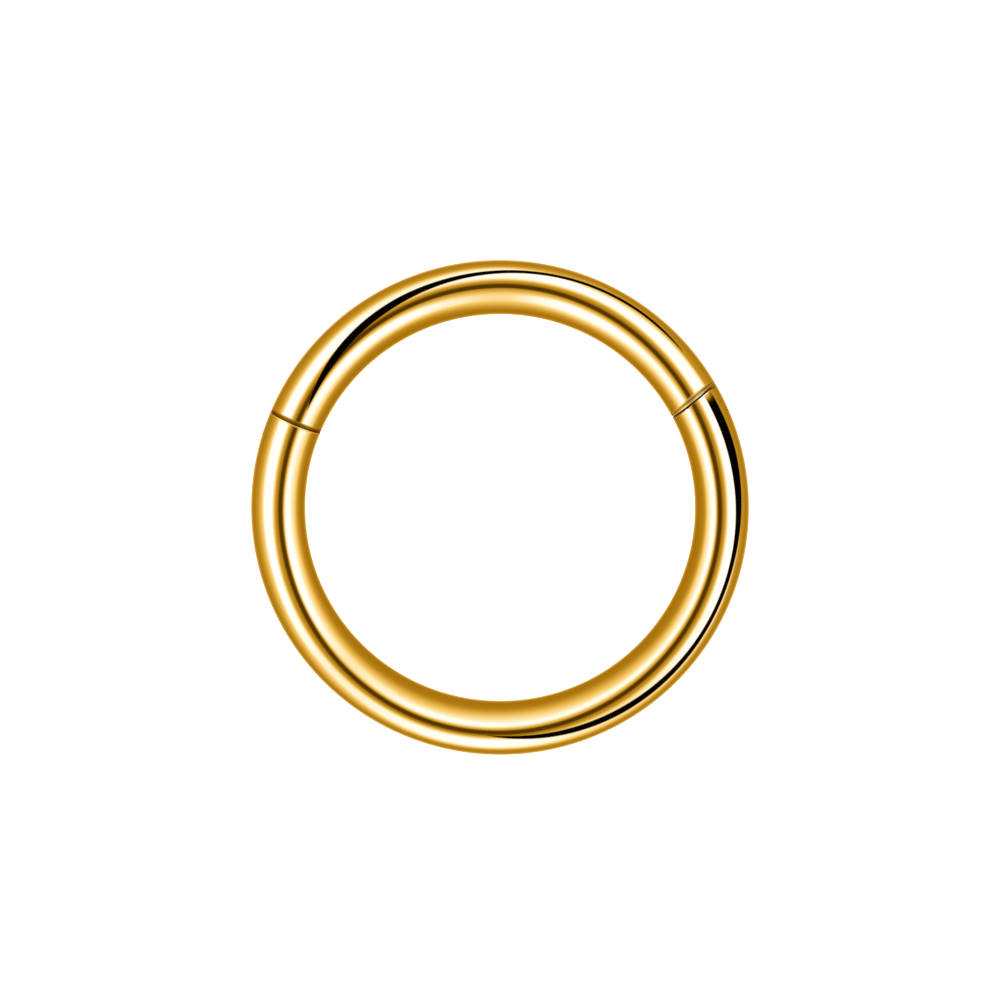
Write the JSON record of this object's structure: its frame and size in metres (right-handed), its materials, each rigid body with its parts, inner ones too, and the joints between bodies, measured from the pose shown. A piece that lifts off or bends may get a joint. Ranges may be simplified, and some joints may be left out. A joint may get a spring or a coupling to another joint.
{
  "type": "clicker ring",
  "caption": "Polished gold-coloured hoop of round wire for a body piercing; a short arc swings outward on a flush pin hinge and snaps shut.",
  "frame": {"origin": "on the surface that the ring lies on, under the centre of the hoop", "axes": "+Z is the hoop's own axis, pointing up out of the surface; +Y points to the top of the picture and +X to its right, so the hinge seam is at 29.5 degrees anticlockwise from +X and the catch seam at 157 degrees"},
  "size_m": [0.011, 0.011, 0.0012],
  "materials": {
    "body_gold": "mirror-polished gold plating on steel",
    "segment_gold": "mirror-polished gold plating on steel",
    "pin_gold": "gold plating on steel, the ends polished flush with the wire"
  },
  "bodies": {
    "ring": {"ring_body": "body_gold", "hinge_pin": "pin_gold"},
    "segment": {"hinged_segment": "segment_gold"}
  },
  "joints": [
    {"name": "segment_hinge", "type": "hinge", "parent": "ring", "child": "segment", "pos_m": [0.00475, 0.00237, 0.0006], "axis": [0, 0, -1], "range_deg": [0, 90]}
  ]
}
